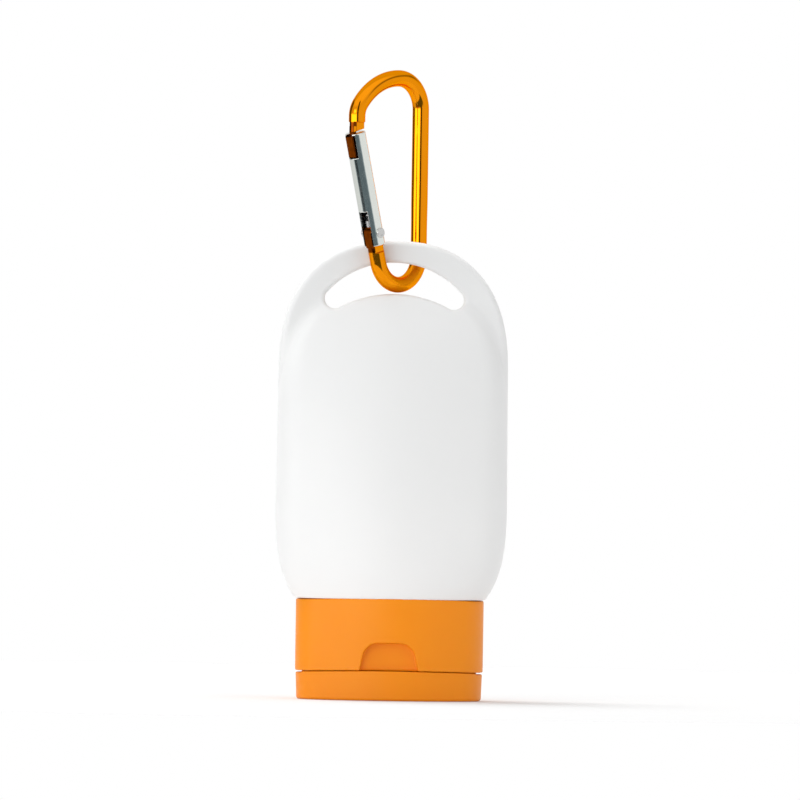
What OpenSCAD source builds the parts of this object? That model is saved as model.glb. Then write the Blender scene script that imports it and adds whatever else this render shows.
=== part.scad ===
// Flat travel squeeze bottle that stands on its flip-top closure, with a carry
// slot through its top and a small spring-gate clip hooked round the bridge.
// Millimetres. Origin: centre of the lid's flat end face, which is also the
// face the bottle stands on. +Z runs up the bottle to the clip, the front
// (thumb recess) faces -Y, +X runs across the width.

/* [Bottle] */
// Widest half width of the bottle
body_half_w = 25.95; // [24:0.05:28]
// Widest half depth of the bottle
body_half_d = 14; // [13:0.1:15]
// Height of the top of the bridge above the standing face
body_top = 102.9; // [101:0.1:104]
// Wall thickness of the bottle
wall = 1.1; // [0.8:0.1:1.4]
// Half thickness of the flattened rim and bridge
rim_half_t = 1.9; // [1.6:0.1:2]
// Outer radius of the neck
neck_r = 9; // [8.5:0.1:9.4]
// Bore radius of the neck
neck_bore = 7.4; // [7:0.1:7.8]

/* [Carry slot] */
// Radius of the slot's upper edge
slot_up_r = 20.3; // [19.8:0.1:20.5]
// Height of the centre of the slot's upper edge
slot_up_z = 77.7; // [77:0.1:78]
// Radius of the slot's lower edge
slot_low_r = 25.6; // [25:0.1:25.8]
// Height of the centre of the slot's lower edge
slot_low_z = 65.4; // [65:0.1:65.6]
// Radius of the slot's two round ends
slot_end_r = 2.25; // [2:0.05:2.4]

/* [Closure] */
// Half width of the closure at the parting line
cap_half_w = 21.05; // [20.5:0.05:21.5]
// Half depth of the closure at the parting line
cap_half_d = 13.05; // [12.5:0.05:13.5]
// Radius of the closure's narrow ends
cap_end_r = 9.7; // [9:0.1:10.5]
// Height of the top edge of the closure base
cap_top = 22.5; // [21:0.1:23]
// Height of the parting line between the lid and the base
part_z = 6.4; // [6:0.1:7]
// Wall thickness of the closure
cap_wall = 1.3; // [1:0.1:1.5]
// Radius of the dispensing hole
orifice_r = 1.75; // [1.2:0.05:2]
// Half width of the thumb recess at the parting line
thumb_half_w = 6.65; // [5:0.05:8]
// Height of the top of the thumb recess
thumb_top = 12.9; // [11:0.1:14]
// Depth position of the flat floor of the thumb recess
thumb_floor = 10.9; // [10.4:0.1:11.4]

/* [Clip] */
// Radius of the clip's round rod
rod_r = 1.85; // [1.7:0.05:1.9]
// Turn of the clip's plane about the vertical, in degrees
clip_yaw = 46; // [45:0.5:47]
// Offset of the clip's middle across the bottle
clip_x = 0.42; // [0.3:0.02:0.5]
// Distance of the spine from the clip's middle
spine_u = 7.02; // [6.9:0.02:7.1]
// Height of the rod's centre line at the bottom bend
clip_low_z = 93.1; // [93.1:0.05:93.3]
// Height of the rod's centre line at the top bend
clip_high_z = 139.35; // [138:0.05:140]
// Distance of the nose arm from the clip's middle
nose_u = -13.46; // [-14:0.02:-13]
// Radius of the gate
gate_r = 2.33; // [2.2:0.01:2.4]
// Outward lean of the closed gate, in degrees
gate_lean = 15.5; // [15:0.1:16]
// Distance of the gate's rivet from the clip's middle
rivet_u = -7.85; // [-8:0.01:-7.7]
// Height of the gate's rivet
rivet_z = 104.6; // [104.4:0.05:104.8]
// Distance from the rivet to the gate's top end
gate_len = 23.1; // [22.8:0.1:23.3]
// Radius of the rivet's shank
rivet_r = 0.75; // [0.6:0.05:0.8]

/* [Hidden] */
$fn = 64;

// ---- sections -----------------------------------------------------------

// Four-centre oval: radius of the flatter long sides
function oval_R(a, b, r) = (pow(a - r, 2) + b * b - r * r) / (2 * (b - r));
// Point of that oval whose outward normal lies at angle t
function oval_pt(a, b, r, t) =
    let (c = a - r, R = oval_R(a, b, r), al = atan2(R - b, c),
         s = sin(t), q = abs(cos(t)), f = atan2(abs(s), q))
    f <= al ? [(cos(t) < 0 ? -1 : 1) * (c + r * cos(f)), (s < 0 ? -1 : 1) * r * sin(f)]
            : [(cos(t) < 0 ? -1 : 1) * R * cos(f), (s < 0 ? -1 : 1) * (R * sin(f) + b - R)];
// Ring of n such points at height z. The normals bunch at the ends, so the
// angle is eased towards the long sides.
function oval_ring(a, b, r, z, n) =
    [for (i = [0:n - 1]) let (t = 360 * (i + 0.5) / n, p = oval_pt(a, b, r, t + 14 * sin(2 * t))) [p[0], p[1], z]];

// Closed skin over a stack of rings
module loft(rings) {
    n = len(rings[0]);
    m = len(rings);
    polyhedron(
        points = [for (r = rings) each r],
        faces = concat(
            [[for (i = [0:n - 1]) i]],
            [[for (i = [n - 1:-1:0]) (m - 1) * n + i]],
            [for (k = [0:m - 2], i = [0:n - 1]) let (j = (i + 1) % n)
                each [[k * n + i, (k + 1) * n + i, (k + 1) * n + j],
                      [k * n + i, (k + 1) * n + j, k * n + j]]]),
        convexity = 6);
}

// Exact four-centre oval outline
module oval(a, b, r) {
    c = a - r;
    R = oval_R(a, b, r);
    xt = R * c / sqrt(c * c + pow(R - b, 2));
    intersection() {
        translate([0, b - R]) circle(r = R, $fn = 180);
        translate([0, R - b]) circle(r = R, $fn = 180);
        translate([-xt, -b - 1]) square([2 * xt, 2 * b + 2]);
    }
    for (s = [-1, 1]) translate([s * c, 0]) circle(r = r);
}

// ---- bottle -------------------------------------------------------------

// Half width of the front outline between the closure and the arch
function out_w(z) = z < 45 ? body_half_w * pow(1 - pow((45 - z) / 29.2, 3), 1 / 3)
                           : body_half_w - 0.25 * (z - 45) / 28.5;
arch_z = 73.5;
arch_w = body_half_w - 0.25;
arch_h = body_top - arch_z;
// Half width and half depth of the full, bulging part of the body
function bulge_w(z) = z < 64 ? out_w(z)
    : min(out_w(z), (arch_w + 0.08) * pow(max(0.0001, 1 - pow((z - 64) / 28.5, 2.6)), 1 / 2.6));
function bulge_d(z) = z < 40 ? body_half_d * pow(1 - pow((40 - z) / 30, 3), 1 / 3)
    : 2.2 + (body_half_d - 2.2) * pow(max(0, 1 - pow((z - 40) / 52.5, 1.9)), 0.9);
function bulge_r(z) = 0.745 * bulge_d(z);

BULGE_Z = [22.6, 24, 26, 28.5, 31.5, 35, 40, 46, 52, 58, 64, 69, 73, 77, 80.5, 83.5, 86, 88, 89.6, 90.8, 91.6];
CAVITY_Z = [23.9, 25.5, 28, 31.5, 36, 42, 48, 54, 60, 66, 71, 75, 78.5, 81.5, 84];

function body_ring(z, inset, n) =
    oval_ring(bulge_w(z) - inset, bulge_d(z) - inset, bulge_r(z) - inset * 0.9, z, n);

// Arch outline of the flattened rim, pulled in by d, at depth y
function rim_ring(d, y) = concat(
    [for (i = [0:40]) let (t = 180 * i / 40, c = cos(t), s = sin(t))
        [(c < 0 ? -1 : 1) * (arch_w - d) * pow(abs(c), 2 / 2.4), y, arch_z + (arch_h - d) * pow(abs(s), 2 / 2.4)]],
    [for (x = [-1, -0.5, 0, 0.5, 1]) [x * (arch_w - d - 0.3), y, 60]]);

module rim_plate() {
    t = rim_half_t;
    loft([for (k = [[1.5, t], [0.72, t - 0.28], [0.22, t - 0.8], [0, t - 1.4],
                    [0, 1.4 - t], [0.22, 0.8 - t], [0.72, 0.28 - t], [1.5, -t]])
        rim_ring(k[0], k[1])]);
}

// Crescent carry slot, in the X-Z plane, grown by g
slot_dz = slot_up_z - slot_low_z;
slot_cz = (pow(slot_low_r + slot_end_r, 2) - pow(slot_up_r - slot_end_r, 2) - slot_dz * slot_dz) / (2 * slot_dz) + slot_up_z;
slot_cx = sqrt(pow(slot_up_r - slot_end_r, 2) - pow(slot_cz - slot_up_z, 2));
module slot_shape(g) {
    a = atan2(slot_cx, slot_cz - (slot_up_z + slot_low_z) / 2);
    intersection() {
        difference() {
            translate([0, slot_up_z]) circle(r = slot_up_r + g, $fn = 180);
            translate([0, slot_low_z]) circle(r = slot_low_r - g, $fn = 180);
        }
        polygon([[slot_cx - 16 * sin(a), slot_cz - 16 * cos(a)], [slot_cx + 9 * sin(a), slot_cz + 9 * cos(a)],
                 [slot_cx, 110], [-slot_cx, 110],
                 [-slot_cx - 9 * sin(a), slot_cz + 9 * cos(a)], [-slot_cx + 16 * sin(a), slot_cz - 16 * cos(a)]]);
    }
    for (s = [-1, 1]) translate([s * slot_cx, slot_cz]) circle(r = slot_end_r + g);
}

neck_end = 8.1;
bead_z = 12.2;

module bottle() {
    color([0.95, 0.95, 0.94])
    difference() {
        union() {
            loft([for (z = BULGE_Z) body_ring(z, 0, 48)]);
            rim_plate();
            // neck with its snap bead
            translate([0, 0, neck_end]) cylinder(r = neck_r, h = 23.2 - neck_end);
            translate([0, 0, bead_z]) cylinder(r = neck_r + 0.65, h = 1.2);
            translate([0, 0, 18.4]) cylinder(r = neck_r + 0.9, h = 1.4);
        }
        loft(concat([for (z = CAVITY_Z) body_ring(z, wall, 36)],
                    [[for (p = body_ring(84, wall + 1.6, 36)) [p[0], p[1] * 0.5, 85.6]]]));
        translate([0, 0, neck_end - 1]) cylinder(r = neck_bore, h = 18);
        // carry slot, its edges eased in two steps
        translate([0, 8, 0]) rotate([90, 0, 0]) linear_extrude(16) slot_shape(0);
        for (k = [[0.22, 1.1], [0.62, 1.5]], m = [0, 1])
            mirror([0, m, 0]) translate([0, 8, 0]) rotate([90, 0, 0]) linear_extrude(8 - k[1]) slot_shape(k[0]);
    }
}

// ---- closure ------------------------------------------------------------

hinge_y = 12.45;
hinge_z = part_z;
hinge_flat = 12.0;
hinge_half_w = 9.5;
gap = 0.08;

// Front view of the thumb recess, grown by g
module thumb_shape(g) {
    polygon([[-thumb_half_w - g, part_z - 1], [thumb_half_w + g, part_z - 1], [thumb_half_w + g, part_z],
             [5.4 + g, thumb_top - 1.9], [3.3, thumb_top + g], [-3.3, thumb_top + g],
             [-5.4 - g, thumb_top - 1.9], [-thumb_half_w - g, part_z]]);
    for (s = [-1, 1]) translate([s * 3.3, thumb_top - 2.2]) circle(r = 2.2 + g);
}

module closure_base() {
    z0 = part_z + gap;
    color([0.95, 0.55, 0.13])
    difference() {
        union() {
            difference() {
                translate([0, 0, z0]) linear_extrude(cap_top - z0) oval(cap_half_w, cap_half_d, cap_end_r);
                translate([0, 0, z0 + 1.6]) linear_extrude(cap_top)
                    oval(cap_half_w - cap_wall, cap_half_d - cap_wall, cap_end_r - cap_wall);
            }
            // thick back wall behind the hinge recess
            translate([-hinge_half_w - 1, 10.6, z0]) cube([2 * hinge_half_w + 2, 1.3, 7.6]);
            // pocket behind the thumb recess
            intersection() {
                translate([0, -thumb_floor + 1.1, 0]) rotate([90, 0, 0]) linear_extrude(4) thumb_shape(1.1);
                translate([0, 0, z0]) linear_extrude(9) oval(cap_half_w - 0.3, cap_half_d - 0.3, cap_end_r - 0.3);
            }
            // inner skirt that grips the neck
            translate([0, 0, z0 + 0.5]) cylinder(r = 10.9, h = 17.6 - z0 - 0.5);
            // dispensing spout and the rim that the lid closes over
            translate([0, 0, part_z - 1.7]) cylinder(r = 3.3, h = 3);
            translate([0, 0, part_z - 0.9]) linear_extrude(1.6) difference() {
                oval(cap_half_w - 2.1, cap_half_d - 2.1, cap_end_r - 2.1);
                oval(cap_half_w - 3.1, cap_half_d - 3.1, cap_end_r - 3.1);
                translate([-14, 9.9]) square([28, 3]);
                translate([-9, -13]) square([18, 3.2]);
            }
        }
        // space for the neck, its bead and the ring seal
        difference() {
            union() {
                translate([0, 0, neck_end]) cylinder(r = neck_r + 0.1, h = 12);
                translate([0, 0, bead_z - 0.15]) cylinder(r = neck_r + 0.8, h = 1.5);
            }
            translate([0, 0, neck_end - 1]) difference() {
                cylinder(r = neck_bore - 0.06, h = 4.2);
                translate([0, 0, -1]) cylinder(r = neck_bore - 0.9, h = 7);
            }
        }
        // dispensing hole
        translate([0, 0, 0]) cylinder(r = orifice_r, h = 12);
        // thumb recess
        translate([0, -thumb_floor, 0]) rotate([90, 0, 0]) linear_extrude(6) thumb_shape(0);
        // hinge recess and the round relief along the hinge line
        translate([-hinge_half_w, hinge_flat, part_z - 1]) cube([2 * hinge_half_w, 3, 7.8]);
        translate([-hinge_half_w, hinge_y, hinge_z]) rotate([0, 90, 0]) cylinder(r = 0.8, h = 2 * hinge_half_w);
    }
}

module closure_lid() {
    z1 = part_z - gap;
    color([0.95, 0.55, 0.13])
    difference() {
        union() {
            difference() {
                loft([for (k = [[0.95, 0], [0.55, 0.16], [0.36, 0.6], [0.14, z1 - 0.2], [0.22, z1]])
                    oval_ring(cap_half_w - k[0], cap_half_d - k[0], cap_end_r - k[0], k[1], 72)]);
                translate([0, 0, 1.2]) linear_extrude(8)
                    oval(cap_half_w - 1.75, cap_half_d - 1.75, cap_end_r - 1.75);
            }
            // thick back wall along the hinge
            intersection() {
                translate([-hinge_half_w - 1, 10.5, 0.8]) cube([2 * hinge_half_w + 2, 1.6, z1 - 0.8]);
                linear_extrude(8) oval(cap_half_w - 1, cap_half_d - 0.5, cap_end_r - 1);
            }
            // plug that shuts the dispensing hole, and the ring round the spout
            translate([0, 0, 0.8]) cylinder(r = orifice_r - 0.25, h = part_z - 0.8 - 0.9);
            translate([0, 0, part_z - 1.0]) cylinder(r1 = orifice_r - 0.25, r2 = orifice_r - 0.55, h = 0.5);
            translate([0, 0, 0.8]) difference() {
                cylinder(r = 4.6, h = part_z - 0.8 - 0.7);
                translate([0, 0, -1]) cylinder(r = 3.65, h = 9);
            }
        }
        translate([-hinge_half_w, hinge_flat, 1.6]) cube([2 * hinge_half_w, 3, 9]);
        translate([-hinge_half_w, hinge_y, hinge_z]) rotate([0, 90, 0]) cylinder(r = 0.8, h = 2 * hinge_half_w);
    }
}

// Thin hinge bands on the hinge line, moulded onto the base's back wall
module living_hinge() {
    color([0.93, 0.5, 0.1])
    for (x = [-7.4, -2, 3.4]) {
        translate([x, hinge_y, hinge_z]) rotate([0, 90, 0]) cylinder(r = 0.38, h = 4);
        translate([x, hinge_flat, hinge_z]) cube([4, 0.45, 2.6]);
    }
}

// ---- clip ---------------------------------------------------------------
// Flat layout of the clip: X across it (the spine is at +X), Y up, Z square
// to its plane. The frame is then turned by clip_yaw about the vertical.
module in_clip_plane() translate([clip_x, 0, 0]) rotate([0, 0, clip_yaw]) rotate([90, 0, 0]) children();
// Layout along the closed gate: origin at the rivet, X inward, Y to the nose
module along_gate() translate([rivet_u, rivet_z, 0]) rotate([0, 0, gate_lean]) children();

// Bottom bend, tangent to the spine, the lowest line and the gate's line
low_R = ((spine_u - rivet_u) * cos(gate_lean) + (clip_low_z - rivet_z) * sin(gate_lean))
      / (1 + cos(gate_lean) - sin(gate_lean));
low_c = [spine_u - low_R, clip_low_z + low_R];
low_t = low_c - low_R * [cos(gate_lean), sin(gate_lean)];
low_len = norm([rivet_u, rivet_z] - low_t);
// Top bend in three arcs: spine corner, long top, nose corner
top_R1 = 7;
top_R2 = 16;
top_R3 = 4.5;
top_c = spine_u - top_R1;
nose_c = [nose_u + top_R3, clip_high_z - top_R2 + sqrt(pow(top_R2 - top_R3, 2) - pow(nose_u + top_R3 - top_c, 2))];
top_a = atan2(nose_c[1] - (clip_high_z - top_R2), nose_c[0] - top_c);
nose_end = gate_len + 0.3;

// Stations along the rod from the tang to the nose: position and heading
function bend(c, R, a0, a1, n) = [for (i = [0:n]) let (a = a0 + (a1 - a0) * i / n)
    [c[0] + R * cos(a), c[1] + R * sin(a), a + 90]];
rod_path = concat(
    [[low_t[0] - (low_len - 3) * sin(gate_lean), low_t[1] + (low_len - 3) * cos(gate_lean), gate_lean - 90]],
    bend(low_c, low_R, 180 + gate_lean, 360, 15),
    bend([top_c, clip_high_z - top_R1], top_R1, 0, 85, 9),
    bend([top_c, clip_high_z - top_R2], top_R2, 90, top_a - 3, 6),
    bend(nose_c, top_R3, top_a + 3, 180, 4),
    [[nose_u, 125, 270]]);

blade_t = 0.65;

module carabiner_frame() {
    color([0.93, 0.55, 0.05]) in_clip_plane() {
        difference() {
            loft([for (p = rod_path) [for (k = [0:19]) let (b = -18 * k - 9)
                [p[0] + rod_r * cos(b) * sin(p[2]), p[1] - rod_r * cos(b) * cos(p[2]), rod_r * sin(b)]]]);
            union() {
            // rod end square to the gate
            along_gate() {
                translate([-6, nose_end - 8, -4]) cube([12, 8, 8]);
                // milled flats either side of the tang
                for (s = [-1, 1]) translate([-4, -4.45, s > 0 ? 1.1 : -5.1]) cube([8, 8, 4]);
            }
            // milled flats that leave a blade at the nose
            for (s = [-1, 1]) translate([nose_u - 4, 121, s > 0 ? blade_t : -4 - blade_t]) cube([8, 8.2, 4]);
            }
        }
        // tongue from the blade's outer edge down to the cross head
        translate([nose_u, 0, -blade_t]) linear_extrude(2 * blade_t)
            polygon([[-1.8, 128.2], [-1.8, 127], [-1.5, 124], [-0.8, 124.1], [-0.85, 128.2]]);
        along_gate() difference() {
            union() {
                // cross head of the nose
                translate([-2.25, 17.9, -1.1]) cube([1.25, 4.7, 2.2]);
                // tang round the rivet
                intersection() {
                    union() {
                        translate([0, 0, -1.1]) cylinder(r = 1.8, h = 2.2);
                        translate([-rod_r, -3.2, -1.1]) cube([2 * rod_r, 3.2, 2.2]);
                    }
                    translate([-3, -5, -2]) cube([6, 6.5, 4]);
                }
            }
            translate([0, 0, -3]) cylinder(r = rivet_r + 0.05, h = 6);
        }
    }
}

bore_r = 1.35;
bore_top = 13.4;

module gate() {
    color([0.82, 0.83, 0.84]) in_clip_plane() along_gate() difference() {
        translate([0, -2.8, 0]) rotate([-90, 0, 0]) cylinder(r = gate_r, h = gate_len + 2.8);
        // blind bore for the spring, and the slot that straddles the tang
        translate([0, -4, 0]) rotate([-90, 0, 0]) cylinder(r = bore_r, h = bore_top + 4);
        translate([-4, -4, -1.3]) cube([8, 6.2, 2.6]);
        translate([-4, -4, -1.3]) cube([4, 9.2, 2.6]);
        // pocket for the nose's cross head, narrowed at the end
        translate([-4, 17.6, -1.4]) cube([3.35, gate_len - 0.35 - 17.6, 2.8]);
        translate([-4, 20, -0.85]) cube([3.75, 8, 1.7]);
        // rivet hole
        translate([0, 0, -4]) cylinder(r = rivet_r, h = 8);
    }
}

module gate_rivet() {
    color([0.7, 0.7, 0.7]) in_clip_plane() along_gate() {
        translate([0, 0, -2.5]) cylinder(r = rivet_r, h = 5);
        for (s = [-1, 1]) translate([0, 0, s * 2.42]) mirror([0, 0, s < 0 ? 1 : 0]) cylinder(r1 = 1.1, r2 = 0.7, h = 0.3);
    }
}

plunger_z = 1.58;

module gate_plunger() {
    color([0.6, 0.6, 0.62]) in_clip_plane() along_gate() {
        translate([0, plunger_z, 0]) rotate([-90, 0, 0]) cylinder(r = bore_r - 0.07, h = 1.4);
        translate([0, plunger_z + 1.4, 0]) rotate([-90, 0, 0]) cylinder(r = 0.6, h = 4.5);
    }
}

// Coil spring: a round wire swept along a helix
spring_z0 = 3.5;
spring_z1 = 13.2;
spring_turns = 8;
spring_R = 0.98;
spring_wire = 0.17;
module gate_spring() {
    seg = 16;
    n = seg * spring_turns;
    rise = (spring_z1 - spring_z0 - 2 * spring_wire - 0.04);
    pitch = atan2(rise, 2 * PI * spring_R * spring_turns);
    color([0.75, 0.75, 0.78]) in_clip_plane() along_gate() rotate([-90, 0, 0])
    loft([for (i = [0:n]) let (a = 360 * i / seg, z = spring_z0 + spring_wire + 0.02 + rise * i / n)
        [for (k = [0:5]) let (b = -60 * k, r = spring_R + spring_wire * cos(b), h = spring_wire * sin(b))
            [r * cos(a) + h * sin(pitch) * sin(a), r * sin(a) - h * sin(pitch) * cos(a), z + h * cos(pitch)]]]);
}

bottle();
closure_base();
closure_lid();
living_hinge();
carabiner_frame();
gate();
gate_rivet();
gate_plunger();
gate_spring();
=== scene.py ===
import math

import bpy
import numpy as np
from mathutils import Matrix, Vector


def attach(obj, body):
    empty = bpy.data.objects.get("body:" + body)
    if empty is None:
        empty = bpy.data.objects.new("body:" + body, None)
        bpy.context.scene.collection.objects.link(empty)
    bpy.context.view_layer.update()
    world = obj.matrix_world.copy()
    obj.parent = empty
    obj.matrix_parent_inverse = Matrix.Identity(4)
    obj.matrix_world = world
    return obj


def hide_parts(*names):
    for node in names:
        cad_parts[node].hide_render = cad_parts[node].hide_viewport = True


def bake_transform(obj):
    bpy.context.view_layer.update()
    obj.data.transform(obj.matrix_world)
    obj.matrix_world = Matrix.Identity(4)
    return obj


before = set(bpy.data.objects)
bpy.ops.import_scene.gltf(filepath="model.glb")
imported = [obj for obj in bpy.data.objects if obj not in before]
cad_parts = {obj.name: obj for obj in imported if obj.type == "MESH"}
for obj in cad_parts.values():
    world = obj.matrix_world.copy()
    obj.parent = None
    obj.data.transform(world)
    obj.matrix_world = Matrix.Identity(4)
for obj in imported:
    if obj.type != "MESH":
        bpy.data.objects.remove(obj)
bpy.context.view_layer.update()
scene = bpy.context.scene

# Lengths below are in millimetres in the row frame: the bottle stands on its
# lid at z 0, its front faces -Y. Meshes are scaled to metres when made.


# ---- smooth solids: distance fields meshed on a fine sparse grid -----------

CORNERS = np.array([[i, j, k] for i in (0, 1) for j in (0, 1) for k in (0, 1)])
CELL_EDGES = [(a, b) for a in range(8) for b in range(8)
              if b > a and abs(CORNERS[a] - CORNERS[b]).sum() == 1]


def gradient(f, p, e=0.01):
    g = np.empty_like(p)
    for k in range(3):
        d = np.zeros(3)
        d[k] = e
        g[:, k] = (f(p + d) - f(p - d)) / (2 * e)
    return g


def project(f, p, most, rounds=2):
    for _ in range(rounds):
        g = gradient(f, p)
        step = -(f(p) / np.maximum((g * g).sum(1), 0.04))[:, None] * g
        size = np.linalg.norm(step, axis=1)
        p = p + step * np.minimum(1, most / np.maximum(size, 1e-9))[:, None]
    return p


def mesh_field(f, lo, hi, pitch, levels=3, safe=1.35, relax=2):
    """Closed mesh of the surface where f is 0, f being negative inside."""
    lo = np.array(lo, float)
    h = pitch * 2 ** levels
    n = np.ceil((np.array(hi, float) - lo) / h).astype(int)
    cells = np.stack(np.meshgrid(*[np.arange(k) for k in n], indexing="ij"), -1).reshape(-1, 3)
    for level in range(levels + 1):
        cells = cells[np.abs(f(lo + (cells + 0.5) * h)) < safe * h * 0.8661]
        if level < levels:
            cells = (cells[:, None, :] * 2 + CORNERS[None]).reshape(-1, 3)
            h /= 2
            n = n * 2
    m = n + 3

    def key(c):
        return ((c[..., 0] + 1) * m[1] + c[..., 1] + 1) * m[2] + c[..., 2] + 1

    cells = cells[np.argsort(key(cells))]
    corner_key = key(cells[:, None, :] + CORNERS[None])
    uniq, inverse = np.unique(corner_key, return_inverse=True)
    inverse = inverse.reshape(corner_key.shape)
    ck = np.stack([uniq // (m[1] * m[2]) - 1, uniq // m[2] % m[1] - 1, uniq % m[2] - 1], -1)
    value = f(lo + ck * h)
    v8 = value[inverse]
    inside = v8 < 0
    active = inside.any(1) & ~inside.all(1)
    cells, v8, inside = cells[active], v8[active], inside[active]
    total, count = np.zeros((len(cells), 3)), np.zeros(len(cells))
    for a, b in CELL_EDGES:
        cross = inside[:, a] != inside[:, b]
        t = v8[cross, a] / (v8[cross, a] - v8[cross, b])
        total[cross] += CORNERS[a] + t[:, None] * (CORNERS[b] - CORNERS[a])
        count[cross] += 1
    points = lo + (cells + total / count[:, None]) * h
    keys = key(cells)
    faces = []
    for d in range(3):
        a, b = (d + 1) % 3, (d + 2) % 3
        ea, eb = np.eye(3, dtype=int)[a], np.eye(3, dtype=int)[b]
        far = [4, 2, 1][d]
        edge = inside[:, 0] != inside[:, far]
        base, flip = cells[edge], ~inside[edge, 0]
        ids, ok = [], np.ones(len(base), bool)
        for off in (0 * ea, -ea, -ea - eb, -eb):
            k = key(base + off)
            at = np.minimum(np.searchsorted(keys, k), len(keys) - 1)
            ok &= keys[at] == k
            ids.append(at)
        quad = np.stack(ids, 1)
        quad[flip] = quad[flip][:, ::-1]
        faces.append(quad[ok])
    faces = np.concatenate(faces)
    points = project(f, points, 0.7 * pitch)
    pairs = np.concatenate([faces[:, [i, (i + 1) % 4]] for i in range(4)])
    degree = np.maximum(np.bincount(pairs[:, 0], minlength=len(points)), 1)
    for _ in range(relax):
        mean = np.stack([np.bincount(pairs[:, 0], points[pairs[:, 1], k], len(points))
                         for k in range(3)], -1) / degree[:, None]
        g = gradient(f, points)
        g /= np.maximum(np.linalg.norm(g, axis=1), 1e-9)[:, None]
        move = mean - points
        move -= (move * g).sum(1)[:, None] * g
        points = project(f, points + 0.5 * move, 0.5 * pitch, 1)
    normals = gradient(f, points)
    normals /= np.maximum(np.linalg.norm(normals, axis=1), 1e-9)[:, None]
    return points, faces, normals


def new_piece(name, points, faces, normals=None, material=None):
    mesh = bpy.data.meshes.new(name)
    faces = np.asarray(faces)
    mesh.vertices.add(len(points))
    mesh.vertices.foreach_set("co", (np.asarray(points) * 0.001).astype(np.float32).ravel())
    k = faces.shape[1]
    mesh.loops.add(faces.size)
    mesh.loops.foreach_set("vertex_index", faces.astype(np.int32).ravel())
    mesh.polygons.add(len(faces))
    mesh.polygons.foreach_set("loop_start", np.arange(0, faces.size, k, dtype=np.int32))
    mesh.polygons.foreach_set("use_smooth", np.ones(len(faces), bool))
    mesh.update(calc_edges=True)
    mesh.validate()
    if normals is not None and len(mesh.vertices) == len(normals):
        mesh.normals_split_custom_set_from_vertices(np.asarray(normals, np.float32))
    ob = bpy.data.objects.new(name, mesh)
    scene.collection.objects.link(ob)
    if material:
        mesh.materials.append(material)
    return ob


def rmax(a, b, r):
    """Intersection of two solids with the edge between them rounded to r."""
    u, v = a + r, b + r
    return np.minimum(np.maximum(u, v), 0) + np.hypot(np.maximum(u, 0), np.maximum(v, 0)) - r


def rmin(a, b, r):
    """Union with a fillet of radius r in the corner."""
    return -rmax(-a, -b, r)


def smin(a, b, k):
    h = np.clip(0.5 + 0.5 * (b - a) / k, 0, 1)
    return b + (a - b) * h - k * h * (1 - h)


def step01(a, b, t):
    t = np.clip((t - a) / (b - a), 0, 1)
    return t * t * (3 - 2 * t)


def box(p, lo, hi, r=0.0):
    """Rounded box."""
    lo, hi = np.array(lo, float), np.array(hi, float)
    q = np.abs(p - (lo + hi) / 2) - (hi - lo) / 2 + r
    return np.linalg.norm(np.maximum(q, 0), axis=-1) + np.minimum(q.max(-1), 0) - r


def oval(x, y, a, b, r):
    """Distance to a four-centre oval."""
    c = a - r
    R = (c * c + b * b - r * r) / (2 * (b - r))
    x, y = np.abs(x), np.abs(y)
    end = x * (R - b) > (y + R - b) * c
    return np.where(end, np.hypot(x - c, y) - r, np.hypot(x, y + R - b) - R)


# ---- bottle ----------------------------------------------------------------

BODY_W, BODY_D, BODY_TOP, WALL, RIM_T = 25.95, 14.0, 102.9, 1.1, 1.9
ARCH_Z, ARCH_W = 73.5, BODY_W - 0.25
ARCH_H = BODY_TOP - ARCH_Z
SLOT_UP_R, SLOT_UP_Z, SLOT_LOW_R, SLOT_LOW_Z, SLOT_END_R = 20.3, 77.7, 25.6, 65.4, 2.25
slot_dz = SLOT_UP_Z - SLOT_LOW_Z
SLOT_CZ = ((SLOT_LOW_R + SLOT_END_R) ** 2 - (SLOT_UP_R - SLOT_END_R) ** 2 - slot_dz ** 2) / (2 * slot_dz) + SLOT_UP_Z
SLOT_CX = math.sqrt((SLOT_UP_R - SLOT_END_R) ** 2 - (SLOT_CZ - SLOT_UP_Z) ** 2)


def out_w(z):
    low = BODY_W * np.maximum(1 - (np.maximum(45 - z, 0) / 29.2) ** 3, 1e-3) ** (1 / 3)
    return np.where(z < 45, low, BODY_W - 0.25 * (z - 45) / 28.5)


def bulge_w(z):
    top = (ARCH_W + 0.08) * np.maximum(1e-4, 1 - (np.maximum(z - 64, 0) / 28.5) ** 2.6) ** (1 / 2.6)
    return np.where(z < 64, out_w(z), np.minimum(out_w(z), top))


def bulge_d(z):
    low = BODY_D * np.maximum(1 - (np.maximum(40 - z, 0) / 30) ** 3, 1e-3) ** (1 / 3)
    high = 2.2 + (BODY_D - 2.2) * np.maximum(0, 1 - (np.maximum(z - 40, 0) / 52.5) ** 1.9) ** 0.9
    return np.where(z < 40, low, high)


def bulge(p):
    def at(z):
        z = np.clip(z, 21, 91.7)
        b = bulge_d(z)
        return oval(p[:, 0], p[:, 1], bulge_w(z), b, 0.745 * b)
    d = at(p[:, 2])
    slope = (at(p[:, 2] + 0.05) - at(p[:, 2] - 0.05)) / 0.1
    return d / np.sqrt(1 + np.minimum(slope * slope, 30))


def rim_outline(x, z):
    X = np.maximum(np.abs(x), 1e-6) / ARCH_W
    Z = np.maximum(z - ARCH_Z, 0) / ARCH_H
    q = (X ** 2.4 + Z ** 2.4) ** (1 / 2.4)
    gx, gz = (X / q) ** 1.4 / ARCH_W, (Z / q) ** 1.4 / ARCH_H
    return (q - 1) / np.sqrt(gx * gx + gz * gz)


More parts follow.
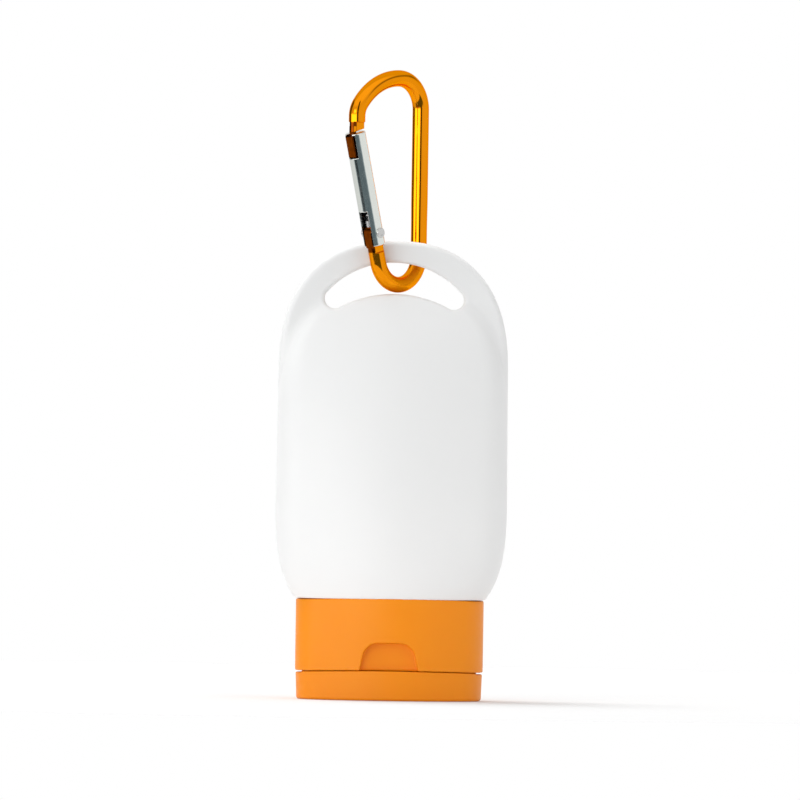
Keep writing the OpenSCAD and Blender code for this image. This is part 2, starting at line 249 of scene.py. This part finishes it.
def slot_outline(x, z):
    x = np.abs(x)
    arcs = np.maximum(np.hypot(x, z - SLOT_UP_Z) - SLOT_UP_R, SLOT_LOW_R - np.hypot(x, z - SLOT_LOW_Z))
    end = np.hypot(x - SLOT_CX, z - SLOT_CZ) - SLOT_END_R
    mid = (SLOT_UP_Z + SLOT_LOW_Z) / 2
    beyond = x * (SLOT_CZ - mid) > (z - mid) * SLOT_CX
    return np.where(beyond, end, arcs)


def bottle_field(p):
    x, y, z = p.T
    rho = np.hypot(x, y)
    full = bulge(p)
    body = rmax(full, z - 91.6, 0.4)
    rim = rmax(rim_outline(x, z), np.abs(y) - RIM_T, 1.35)
    rim = np.maximum(rim, 60 - z)
    d = smin(body, rim, 0.05 + 1.5 * step01(66, 82, z))
    d = rmax(d, 22.62 - z, 0.3)
    neck = rmax(rho - 9, np.maximum(8.1 - z, z - 23.4), 0.4)
    bead = rmax(rho - 9.65, np.abs(z - 12.8) - 0.6, 0.35)
    ring = rmax(rho - 9.9, np.abs(z - 19.1) - 0.7, 0.35)
    d = np.minimum(d, np.minimum(neck, np.minimum(bead, ring)))
    d = rmax(d, -slot_outline(x, z), 0.75)
    hollow = rmax(rmax(full + WALL, 23.9 - z, 1.0), z - 84.6, 0.8)
    bore = rmax(rho - 7.4, np.maximum(7 - z, z - 25), 0.1)
    return rmax(d, -np.minimum(hollow, bore), 0.3)


# ---- closure ---------------------------------------------------------------

CAP = (21.05, 13.05, 9.7)
CAP_TOP, PART_Z, GAP, CAP_WALL = 22.5, 6.4, 0.08, 1.3
HINGE_Y, HINGE_FLAT, HINGE_W = 12.45, 12.0, 9.5
THUMB_TOP, THUMB_FLOOR = 12.9, 10.9


def thumb_outline(x, z):
    side = (np.abs(x) - 6.6 + 0.21 * (z - PART_Z)) * 0.979
    return rmax(side, z - THUMB_TOP, 2.7)


def hinge_relief(p):
    cut = np.hypot(p[:, 1] - HINGE_Y, p[:, 2] - PART_Z) - 0.8
    return np.maximum(cut, np.abs(p[:, 0]) - HINGE_W)


def crown(x, y, ends, middle):
    """Rise of a front edge from its ends to its middle."""
    return step01(2, -7, y) * (ends + (middle - ends) * (1 - (np.minimum(np.abs(x), 21) / 21) ** 2))


def base_field(p):
    x, y, z = p.T
    rho = np.hypot(x, y)
    o = oval(x, y, *CAP)
    z0 = PART_Z + GAP
    d = rmax(rmax(o, z - CAP_TOP - crown(x, y, -0.15, 0.38), 0.34), z0 + crown(x, y, -0.12, 0.3) - z, 0.16)
    d = rmax(d, -rmax(o + CAP_WALL, z0 + 1.6 - z, 0.3), 0.25)
    d = rmin(d, box(p, (-10.5, 10.4, z0 + 0.2), (10.5, 11.9, z0 + 7.6), 0.1), 0.2)
    thumb = thumb_outline(x, z)
    pocket = np.maximum(np.maximum(thumb - 1.1, y + THUMB_FLOOR - 1.1), np.maximum(z0 + 0.2 - z, o + 0.3))
    d = np.minimum(d, pocket)
    d = rmin(d, rmax(rho - 10.9, np.maximum(z0 + 0.4 - z, z - 17.6), 0.25), 0.3)
    d = rmin(d, rmax(rho - 3.3, np.maximum(PART_Z - 1.7 - z, z - 8), 0.35), 0.3)
    nest = rmax(np.maximum(o + 2.1, -(o + 3.1)), np.maximum(PART_Z - 0.9 - z, z - 7.2), 0.15)
    nest = np.maximum(nest, -box(p, (-14, 9.9, 0), (14, 14, 9)))
    nest = np.maximum(nest, -box(p, (-9, -14, 0), (9, -9.8, 9)))
    d = rmin(d, nest, 0.15)
    space = rmax(rho - 9.1, np.maximum(8.1 - z, z - 20.1), 0.05)
    space = np.minimum(space, rmax(rho - 9.8, np.abs(z - 12.8) - 0.75, 0.2))
    seal = rmax(np.maximum(rho - 7.34, 6.5 - rho), z - 11.3, 0.2)
    d = np.maximum(d, -np.maximum(space, -seal))
    d = rmax(d, -(rho - 1.75), 0.3)
    cut = rmax(thumb, y + THUMB_FLOOR, 0.35)
    d = rmax(d, -cut, 0.26)
    d = rmax(d, -box(p, (-HINGE_W, HINGE_FLAT, 0), (HINGE_W, 16, 13.2), 0.1), 0.2)
    return np.maximum(d, -hinge_relief(p))


def lid_field(p):
    x, y, z = p.T
    rho = np.hypot(x, y)
    o = oval(x, y, *CAP)
    z1 = PART_Z - GAP
    side = o + 0.36 - 0.22 * z / z1
    d = rmax(rmax(side, -z, 0.62), z - z1 - crown(x, y, -0.12, 0.3), 0.2)
    d = rmax(d, -rmax(o + 1.75, 1.2 - z, 0.3), 0.25)
    back = np.maximum(box(p, (-10.5, 10.5, 0.8), (10.5, 12.1, z1), 0.1), o + 0.5)
    d = rmin(d, back, 0.15)
    d = rmin(d, rmax(rho - 1.5, np.maximum(0.8 - z, z - 5.9), 0.45), 0.4)
    d = rmin(d, rmax(np.maximum(rho - 4.6, 3.65 - rho), np.maximum(0.8 - z, z - 5.7), 0.25), 0.35)
    d = rmax(d, -box(p, (-HINGE_W, HINGE_FLAT, 1.6), (HINGE_W, 16, 9), 0.1), 0.2)
    d = np.maximum(d, -hinge_relief(p))
    # see-through notch at each end of the parting line
    return rmax(d, -rmax(19.55 - np.abs(x), z1 - 0.3 - z, 0.1), 0.12)


def hinge_bands():
    points, faces = [], []
    rings, around = 36, 16
    for x0 in (-7.4, -2.0, 3.4):
        start = len(points)
        for i in range(rings + 1):
            t = -1 + 2 * i / rings
            z = PART_Z + 2.55 * t
            near = math.exp(-(2.55 * t / 0.55) ** 2)
            yc, half = 12.24 + 0.2 * near, 0.23 - 0.08 * near
            end = 1 - 0.35 * abs(t) ** 12
            for k in range(around):
                a = 2 * math.pi * (k + 0.5) / around
                c, s = math.cos(a), math.sin(a)
                sx = math.copysign(abs(c) ** 0.25, c) * (2.0 - 0.06 * near)
                sy = math.copysign(abs(s) ** 0.5, s) * half * end
                points.append((x0 + 2 + sx, yc + sy, z))
        for i in range(rings):
            for k in range(around):
                a, b = start + i * around + k, start + i * around + (k + 1) % around
                faces.append((a, b, b + around, a + around))
        for i, order in ((0, -1), (rings, 1)):
            ids = [start + i * around + k for k in range(around)][::order]
            for k in range(1, around // 2):
                faces.append((ids[k - 1] if k > 1 else ids[0], ids[k], ids[around - k - 1], ids[around - k]))
    return points, faces


# ---- clip ------------------------------------------------------------------
# (u, v, n): across the clip, up, and square to its plane

ROD_R, YAW, CLIP_X = 1.85, math.radians(46), 0.42
SPINE_U, LOW_Z, HIGH_Z, NOSE_U = 7.02, 93.1, 139.35, -13.46
GATE_R, LEAN, RIVET_U, RIVET_Z, GATE_LEN = 2.33, math.radians(15.5), -7.85, 104.6, 23.1
U_DIR = np.array([math.cos(YAW), math.sin(YAW), 0])
V_DIR = np.array([0, 0, 1.0])
N_DIR = np.array([math.sin(YAW), -math.cos(YAW), 0])
CLIP_O = np.array([CLIP_X, 0, 0])
# along the gate: g across it (inward positive), s along it, n as above
G_DIR = math.cos(LEAN) * U_DIR + math.sin(LEAN) * V_DIR
S_DIR = -math.sin(LEAN) * U_DIR + math.cos(LEAN) * V_DIR
RIVET = CLIP_O + RIVET_U * U_DIR + RIVET_Z * V_DIR

LOW_R = ((SPINE_U - RIVET_U) * math.cos(LEAN) + (LOW_Z - RIVET_Z) * math.sin(LEAN)) / (1 + math.cos(LEAN) - math.sin(LEAN))
LOW_C = (SPINE_U - LOW_R, LOW_Z + LOW_R)
LOW_T = (LOW_C[0] - LOW_R * math.cos(LEAN), LOW_C[1] - LOW_R * math.sin(LEAN))
LOW_LEN = math.hypot(RIVET_U - LOW_T[0], RIVET_Z - LOW_T[1])
R1, R2, R3 = 7.0, 16.0, 4.5
TOP_C = SPINE_U - R1
NOSE_C = (NOSE_U + R3, HIGH_Z - R2 + math.sqrt((R2 - R3) ** 2 - (NOSE_U + R3 - TOP_C) ** 2))
TOP_A = math.atan2(NOSE_C[1] - (HIGH_Z - R2), NOSE_C[0] - TOP_C)
NOSE_END = GATE_LEN + 0.3


def segment2(u, v, a, b):
    ab = np.subtract(b, a)
    t = np.clip(((u - a[0]) * ab[0] + (v - a[1]) * ab[1]) / (ab @ ab), 0, 1)
    return np.hypot(u - a[0] - t * ab[0], v - a[1] - t * ab[1])


def arc2(u, v, c, R, a0, a1):
    mid, half = (a0 + a1) / 2, (a1 - a0) / 2
    a = (np.arctan2(v - c[1], u - c[0]) - mid + math.pi) % (2 * math.pi) - math.pi
    on = np.abs(np.hypot(u - c[0], v - c[1]) - R)
    ends = [np.hypot(u - c[0] - R * math.cos(e), v - c[1] - R * math.sin(e)) for e in (a0, a1)]
    return np.where(np.abs(a) <= half, on, np.minimum(*ends))


def clip_line(u, v):
    d = segment2(u, v, LOW_T, (LOW_T[0] - LOW_LEN * math.sin(LEAN), LOW_T[1] + LOW_LEN * math.cos(LEAN)))
    for other in (
        arc2(u, v, LOW_C, LOW_R, math.pi + LEAN, 2 * math.pi),
        segment2(u, v, (SPINE_U, LOW_C[1]), (SPINE_U, HIGH_Z - R1)),
        arc2(u, v, (TOP_C, HIGH_Z - R1), R1, 0, math.pi / 2),
        arc2(u, v, (TOP_C, HIGH_Z - R2), R2, math.pi / 2, TOP_A),
        arc2(u, v, NOSE_C, R3, TOP_A, math.pi),
        segment2(u, v, (NOSE_U, NOSE_C[1]), (NOSE_U, 122)),
    ):
        d = np.minimum(d, other)
    return d


def gate_coords(p):
    q = p - RIVET
    return q @ G_DIR, q @ S_DIR, q @ N_DIR


def polygon2(u, v, corners):
    """Distance to a convex polygon, its corners in counterclockwise order."""
    d = np.full(u.shape, -99.0)
    for a, b in zip(corners, corners[1:] + corners[:1]):
        e = np.subtract(b, a) / math.hypot(b[0] - a[0], b[1] - a[1])
        d = np.maximum(d, (u - a[0]) * e[1] - (v - a[1]) * e[0])
    return d


BLADE = 0.65
TONGUE = [(NOSE_U - 1.8, 128.2), (NOSE_U - 1.8, 127), (NOSE_U - 1.5, 124), (NOSE_U - 0.8, 124.1), (NOSE_U - 0.85, 128.2)]


def frame_field(p):
    q = p - CLIP_O
    u, v, n = q @ U_DIR, q @ V_DIR, q @ N_DIR
    g, s, _ = gate_coords(p)
    an = np.abs(n)
    # a hair thinner where it passes the bridge, to clear it over the swing
    rod = np.hypot(clip_line(u, v), n) - ROD_R + 0.06 * step01(113, 105, v)
    # nose: rod cut square to the gate and milled to a blade on both sides
    nose = rmax(rod, NOSE_END - s, 0.1)
    nose = rmax(nose, -np.maximum(BLADE - an, v - 129.2), 0.07)
    nose = rmin(nose, rmax(polygon2(u, v, TONGUE), an - BLADE, 0.07), 0.08)
    d = np.where((v > 119) & (u < -8), nose, rod)
    # milled flats either side of the tang
    tang_side = (s < 8) & (u < 0)
    flat = np.maximum(1.1 - an, -4.45 - s)
    d = np.where(tang_side, rmax(rmax(d, s - 0.4, 0.1), -flat, 0.07), d)
    tang = np.maximum(np.minimum(np.hypot(g, s) - 1.8, np.maximum(np.abs(g) - ROD_R, np.maximum(s, -3.2 - s))), an - 1.1)
    tang = rmax(tang, s - 1.5, 0.08)
    d = np.minimum(d, np.where(tang_side, tang, 99))
    local = np.stack([g, s, n], -1)
    d = rmin(d, box(local, (-2.25, 17.9, -1.1), (-1.0, 22.6, 1.1), 0.12), 0.08)
    return np.maximum(d, np.where(tang_side, 0.8 - np.hypot(g, s), -99))


def milled_faces(p):
    """1 on the cross head, the tongue's edge and the tang's edge, else 0."""
    u, v = (p - CLIP_O) @ U_DIR, p[:, 2]
    g, s, n = gate_coords(p)
    an = np.abs(n)
    head = (s > 17.7) & (s < 22.75) & (g < -0.9)
    tongue = (v > 123.5) & (v < 129.2) & (u < NOSE_U - 0.75) & (an < BLADE + 0.02)
    outer = (s > -4.2) & (s < 2.4) & (g < -1.25) & (an < 1.12)
    return (head | tongue | outer).astype(float)


def gate_field(p):
    g, s, n = gate_coords(p)
    local = np.stack([g, s, n], -1)
    rho = np.hypot(g, n)
    an = np.abs(n)
    d = rmax(rho - GATE_R, np.maximum(-2.8 - s, s - GATE_LEN), 0.2)
    d = rmax(d, -np.maximum(rho - 1.35, s - 13.4), 0.08)
    d = rmax(d, -box(local, (-4, -5, -1.3), (4, 2.2, 1.3), 0.05), 0.1)
    d = rmax(d, -box(local, (-4, -5, -1.3), (0, 5.2, 1.3), 0.05), 0.1)
    d = rmax(d, -box(local, (-4, 17.6, -1.4), (-0.65, GATE_LEN - 0.35, 1.4), 0.12), 0.1)
    d = rmax(d, -np.maximum(np.maximum(an - 0.85, g + 0.25), 20 - s), 0.06)
    return np.maximum(d, 0.755 - np.hypot(g, s))


def bored_faces(p):
    """1 in the bore and the slots, where the gate's colour is painted dark as shade, 0 on the polished outside."""
    g, s, n = gate_coords(p)
    return ((np.hypot(g, n) < GATE_R - 0.16) & (s > -2.7) & (s < GATE_LEN - 0.12)).astype(float)


def rivet_field(p):
    g, s, n = gate_coords(p)
    r = np.hypot(g, s)
    an = np.abs(n)
    shank = np.maximum(r - 0.75, an - 2.45)
    head = rmax(r - 1.12, np.maximum(2.2 - an, an - 2.72), 0.2)
    dish = np.hypot(r, an - 4.35) - 1.75
    return rmax(rmin(shank, head, 0.05), -dish, 0.12)


# ---- materials -------------------------------------------------------------

def material(name, color, rough, metal=0.0, **sockets):
    m = bpy.data.materials.new(name)
    m.use_nodes = True
    t = m.node_tree
    b = t.nodes["Principled BSDF"]
    b.inputs["Base Color"].default_value = (*color, 1)
    b.inputs["Roughness"].default_value = rough
    b.inputs["Metallic"].default_value = metal
    for k, v in sockets.items():
        b.inputs[k.replace("_", " ")].default_value = v
    return m, t, b


def node(t, kind, **props):
    n = t.nodes.new(kind)
    for k, v in props.items():
        if k in n.inputs:
            n.inputs[k].default_value = v
        else:
            setattr(n, k, v)
    return n


def noise(t, coord, scale, detail=3.0, rough=0.5, stretch=(1, 1, 1)):
    mp = node(t, "ShaderNodeMapping")
    mp.inputs["Scale"].default_value = stretch
    t.links.new(coord, mp.inputs["Vector"])
    n = node(t, "ShaderNodeTexNoise")
    n.inputs["Scale"].default_value = scale
    n.inputs["Detail"].default_value = detail
    n.inputs["Roughness"].default_value = rough
    t.links.new(mp.outputs[0], n.inputs["Vector"])
    return n.outputs["Fac"]


def ramp(t, fac, lo, hi, a=0.0, b=1.0):
    n = node(t, "ShaderNodeMapRange")
    for k, v in ((1, a), (2, b), (3, lo), (4, hi)):
        n.inputs[k].default_value = v
    t.links.new(fac, n.inputs[0])
    return n.outputs[0]


def mix_color(t, fac, a, b):
    n = node(t, "ShaderNodeMix", data_type="RGBA")
    t.links.new(fac, n.inputs[0])
    n.inputs[6].default_value = (*a, 1)
    n.inputs[7].default_value = (*b, 1)
    return n.outputs[2]


def math_node(t, op, a, b=None):
    n = node(t, "ShaderNodeMath", operation=op)
    for i, v in enumerate((a, b)):
        if v is None:
            continue
        if isinstance(v, (int, float)):
            n.inputs[i].default_value = v
        else:
            t.links.new(v, n.inputs[i])
    return n.outputs[0]


def bump(t, bsdf, height, distance, strength=1.0, chain=None):
    n = node(t, "ShaderNodeBump")
    n.inputs["Strength"].default_value = strength
    n.inputs["Distance"].default_value = distance
    t.links.new(height, n.inputs["Height"])
    if chain is not None:
        t.links.new(chain, n.inputs["Normal"])
    if bsdf is not None:
        t.links.new(n.outputs[0], bsdf.inputs["Normal"])
    return n.outputs[0]


def bottle_white():
    m, t, b = material("bottle_white", (0.842, 0.844, 0.841), 0.4)
    b.inputs["IOR"].default_value = 1.5
    b.inputs["Subsurface Weight"].default_value = 0.3
    b.inputs["Subsurface Radius"].default_value = (1.0, 1.0, 1.0)
    b.inputs["Subsurface Scale"].default_value = 0.0009
    co = node(t, "ShaderNodeTexCoord").outputs["Object"]
    cloud = noise(t, co, 55, 3)
    col = mix_color(t, cloud, (0.828, 0.831, 0.829), (0.856, 0.858, 0.854))
    t.links.new(col, b.inputs["Base Color"])
    r = ramp(t, noise(t, co, 420, 4, 0.6), 0.34, 0.48, 0.3, 0.7)
    t.links.new(r, b.inputs["Roughness"])
    # fine blow-mould skin, a slow ripple in the wall, and the mould's parting line
    sep = node(t, "ShaderNodeSeparateXYZ")
    t.links.new(co, sep.inputs[0])
    away = math_node(t, "ABSOLUTE", sep.outputs["Y"])
    line = math_node(t, "SUBTRACT", 1.0, math_node(t, "MINIMUM", math_node(t, "DIVIDE", away, 0.00016), 1.0))
    one = bump(t, None, noise(t, co, 2600, 2), 0.000012, 0.6)
    two = bump(t, None, noise(t, co, 70, 1), 0.00025, 0.35, one)
    bump(t, b, line, 0.00007, 0.9, two)
    return m


def closure_orange():
    m, t, b = material("closure_orange", (0.885, 0.268, 0.002), 0.42)
    b.inputs["Specular IOR Level"].default_value = 0.28
    b.inputs["IOR"].default_value = 1.49
    b.inputs["Subsurface Weight"].default_value = 0.12
    b.inputs["Subsurface Radius"].default_value = (1.0, 0.35, 0.06)
    b.inputs["Subsurface Scale"].default_value = 0.0008
    co = node(t, "ShaderNodeTexCoord").outputs["Object"]
    col = mix_color(t, noise(t, co, 90, 3), (0.865, 0.257, 0.001), (0.905, 0.279, 0.002))
    t.links.new(col, b.inputs["Base Color"])
    r = ramp(t, noise(t, co, 900, 4, 0.6), 0.36, 0.5, 0.3, 0.7)
    t.links.new(r, b.inputs["Roughness"])
    one = bump(t, None, noise(t, co, 5200, 2), 0.00001, 0.7)
    bump(t, b, noise(t, co, 140, 1), 0.00012, 0.25, one)
    return m


def anodised():
    m, t, b = material("clip_orange", (0.88, 0.285, 0.004), 0.1, 1.0)
    b.inputs["Specular Tint"].default_value = (1.0, 0.62, 0.2, 1)
    co = node(t, "ShaderNodeTexCoord").outputs["Object"]
    col = mix_color(t, noise(t, co, 260, 3), (0.86, 0.27, 0.003), (0.91, 0.3, 0.005))
    # the milled faces of the cross head, the tongue's edge and the tang's edge are coloured dark brown, darker than the
    # polished rod
    cut = node(t, "ShaderNodeAttribute", attribute_name="milled").outputs["Fac"]
    grain = noise(t, co, 1400, 3, 0.6, (1, 1, 0.4))
    dark_brown_faces = mix_color(t, grain, (0.05, 0.007, 0.001), (0.3, 0.062, 0.003))
    both = node(t, "ShaderNodeMix", data_type="RGBA")
    t.links.new(cut, both.inputs[0])
    t.links.new(col, both.inputs[6])
    t.links.new(dark_brown_faces, both.inputs[7])
    t.links.new(both.outputs[2], b.inputs["Base Color"])
    r = ramp(t, noise(t, co, 1500, 4, 0.6), 0.07, 0.13, 0.3, 0.7)
    t.links.new(r, b.inputs["Roughness"])
    one = bump(t, None, noise(t, co, 3200, 2, 0.5, (1, 1, 0.12)), 0.000003, 0.3)
    bump(t, b, noise(t, co, 240, 1), 0.00005, 0.12, one)
    return m


def silver():
    m, t, b = material("gate_silver", (0.86, 0.88, 0.865), 0.16, 1.0)
    co = node(t, "ShaderNodeTexCoord").outputs["Object"]
    col = mix_color(t, noise(t, co, 300, 3), (0.74, 0.775, 0.735), (0.8, 0.825, 0.78))
    # painted shade: the bore and the slots inside are coloured near-black to dark grey, for the shade inside the tube
    painted_bore_shade = mix_color(t, noise(t, co, 900, 2), (0.015, 0.016, 0.018), (0.3, 0.31, 0.31))
    both = node(t, "ShaderNodeMix", data_type="RGBA")
    t.links.new(node(t, "ShaderNodeAttribute", attribute_name="bored").outputs["Fac"], both.inputs[0])
    t.links.new(col, both.inputs[6])
    t.links.new(painted_bore_shade, both.inputs[7])
    t.links.new(both.outputs[2], b.inputs["Base Color"])
    r = ramp(t, noise(t, co, 2200, 4, 0.6, (1, 1, 0.2)), 0.08, 0.17, 0.3, 0.7)
    t.links.new(r, b.inputs["Roughness"])
    bump(t, b, noise(t, co, 2600, 2, 0.5, (1, 1, 0.1)), 0.000006, 0.5)
    return m


def steel():
    m, t, b = material("steel", (0.62, 0.62, 0.61), 0.28, 1.0)
    co = node(t, "ShaderNodeTexCoord").outputs["Object"]
    r = ramp(t, noise(t, co, 1800, 4, 0.6), 0.2, 0.38, 0.3, 0.7)
    t.links.new(r, b.inputs["Roughness"])
    bump(t, b, noise(t, co, 2600, 2), 0.000006, 0.5)
    return m


WHITE, ORANGE, CLIP, SILVER, STEEL = bottle_white(), closure_orange(), anodised(), silver(), steel()


# ---- pieces ----------------------------------------------------------------

def field_piece(name, f, lo, hi, pitch, mat, body, nodes, safe=1.35):
    points, faces, normals = mesh_field(f, lo, hi, pitch * (1), safe=safe)
    ob = new_piece(name, points, faces, normals, mat)
    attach(ob, body)
    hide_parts(*nodes)
    return ob


field_piece("bottle_shell", bottle_field, (-27, -15, 7), (27, 15, 104), 0.515, WHITE, "container", ["bottle"], 1.6)
field_piece("closure_base_shell", base_field, (-22, -14, 4), (22, 14, 23.5), 0.3, ORANGE, "container", ["closure_base"])
field_piece("closure_lid_shell", lid_field, (-22, -14, -0.8), (22, 14, 7), 0.26, ORANGE, "lid", ["closure_lid"])


def mark(ob, name, f):
    """Per-point mask that a material reads."""
    attribute = ob.data.attributes.new(name, "FLOAT", "POINT")
    spots = np.empty(len(ob.data.vertices) * 3, np.float32)
    ob.data.vertices.foreach_get("co", spots)
    attribute.data.foreach_set("value", f(spots.reshape(-1, 3).astype(float) * 1000).astype(np.float32))


clip_frame = field_piece("clip_frame", frame_field, (-12, -13, 90), (9, 9, 142.5), 0.16, CLIP, "clip", ["carabiner_frame"])
mark(clip_frame, "milled", milled_faces)
gate_tube = field_piece("gate_tube", gate_field, (-14, -14, 100), (-1, -1, 130), 0.14, SILVER, "gate_arm", ["gate"])
# mask of the bore and slots, which the gate's material paints dark as shade
mark(gate_tube, "bored", bored_faces)
field_piece("rivet", rivet_field, (-9, -9, 102.5), (-1, -2, 107), 0.07, STEEL, "gate_arm", ["gate_rivet"])

points, faces = hinge_bands()
bands = new_piece("hinge_bands", points, faces, None, ORANGE)
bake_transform(bands)
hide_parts("living_hinge")

for name in ("gate_plunger", "gate_spring"):
    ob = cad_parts[name]
    for i in range(len(ob.material_slots)):
        ob.material_slots[i].material = STEEL


# ---- stage -----------------------------------------------------------------

def floor():
    # a round sheet of pale paper, lit to run into the white behind it
    bpy.ops.mesh.primitive_circle_add(vertices=128, radius=0.28, fill_type="TRIFAN", location=(0, 0.1, 0))
    ob = bpy.context.object
    ob.name = "floor"
    m, t, b = material("floor_paper", (0.76, 0.76, 0.76), 1.0)
    b.inputs["Specular IOR Level"].default_value = 0.0
    b.inputs["Emission Color"].default_value = (1, 1, 1, 1)
    b.inputs["Emission Strength"].default_value = 0.02
    ob.data.materials.append(m)


floor()

# The studio: a white room, brighter overhead, with a long softbox at the front
# left, and dark cloth round the camera and under that softbox, which polished
# metal shows as lines. Azimuth 0 is the camera's side (-Y) and grows to the right.
world = bpy.data.worlds.new("studio")
scene.world = world
world.use_nodes = True
wt = world.node_tree
back = wt.nodes["Background"]
back.inputs["Color"].default_value = (1, 1, 1, 1)
back.inputs["Strength"].default_value = 1.0
gen = wt.nodes.new("ShaderNodeTexCoord")
axes = wt.nodes.new("ShaderNodeSeparateXYZ")
wt.links.new(gen.outputs["Generated"], axes.inputs[0])
azimuth = math_node(wt, "ARCTAN2", axes.outputs["X"], math_node(wt, "MULTIPLY", axes.outputs["Y"], -1.0))
height = math_node(wt, "ARCSINE", axes.outputs["Z"])


def edge(v, at, soft):
    n = node(wt, "ShaderNodeMapRange", interpolation_type="SMOOTHSTEP")
    n.inputs[1].default_value, n.inputs[2].default_value = math.radians(at - soft), math.radians(at + soft)
    wt.links.new(v, n.inputs[0])
    return n.outputs[0]


def patch(az, el, soft):
    across = math_node(wt, "SUBTRACT", edge(azimuth, az[0], soft), edge(azimuth, az[1], soft))
    up = math_node(wt, "SUBTRACT", edge(height, el[0], soft), edge(height, el[1], soft))
    return math_node(wt, "MULTIPLY", across, up)


def toward(level, fac, value):
    step = math_node(wt, "MULTIPLY", fac, math_node(wt, "SUBTRACT", value, level))
    return math_node(wt, "ADD", level, step)


ROOM, KEY, DARK = 0.78, 3.0, 0.05
behind = node(wt, "ShaderNodeMapRange", interpolation_type="SMOOTHSTEP")
behind.inputs[2].default_value = 0.4
wt.links.new(axes.outputs["Y"], behind.inputs[0])
level = toward(ROOM, math_node(wt, "MULTIPLY", behind.outputs[0], edge(height, 30, 8)), 0.85)
level = toward(level, patch((-95, 95), (36, 89), 10), 1.1)
level = toward(level, patch((26, 170), (-70, 25), 14), 0.9)
level = toward(level, patch((70, 130), (18, 32), 6), 0.3)
level = toward(level, patch((-70, 42), (-46, -10), 5), 0.17)
level = toward(level, patch((-62, -34), (-42, -12), 7), DARK)
level = toward(level, patch((-2, 17), (-14, 52), 3), DARK)
level = toward(level, patch((-136, -91), (-8, 40), 4), 0.14)
level = toward(level, patch((-85, -7), (-6, 8), 3), KEY)
level = toward(level, patch((-50, -16), (12, 24), 4), KEY)
room = wt.nodes.new("ShaderNodeBackground")
wt.links.new(level, room.inputs["Strength"])
tint = mix_color(wt, patch((-70, 42), (-46, -10), 5), (1, 1, 1), (0.7, 0.9, 1.0))
wt.links.new(tint, room.inputs["Color"])
seen = wt.nodes.new("ShaderNodeLightPath")
pick = wt.nodes.new("ShaderNodeMixShader")
wt.links.new(seen.outputs["Is Camera Ray"], pick.inputs[0])
wt.links.new(room.outputs[0], pick.inputs[1])
wt.links.new(back.outputs[0], pick.inputs[2])
wt.links.new(pick.outputs[0], wt.nodes["World Output"].inputs["Surface"])

# a broad lamp high up behind on the left, for the shadow on the floor
lamp = bpy.data.lights.new("overhead", "AREA")
lamp.shape, lamp.size, lamp.energy = "DISK", 1.5, 42.0
overhead = bpy.data.objects.new("overhead", lamp)
scene.collection.objects.link(overhead)
overhead.location = (-0.95, 0.75, 2.6)
overhead.rotation_euler = (-overhead.location).to_track_quat("-Z", "Y").to_euler()
overhead.visible_glossy = overhead.visible_camera = False

scene.view_settings.view_transform = "Standard"


# ---- camera ----------------------------------------------------------------

PX = 0.2242e-3
DIST = 3.0
cam_data = bpy.data.cameras.new("camera")
cam = bpy.data.objects.new("camera", cam_data)
scene.collection.objects.link(cam)
scene.camera = cam
cam_data.sensor_width = 36
cam_data.lens = 36 * DIST / (800 * PX)
cam_data.clip_start, cam_data.clip_end = 0.05, 60
roll = math.radians(0.86)
# the photograph's centre falls this far from the foot of the bottle's middle
cam.location = (1.6e-3, -DIST, (700 - 400) * PX)
cam.rotation_euler = (math.radians(90), -roll, 0)
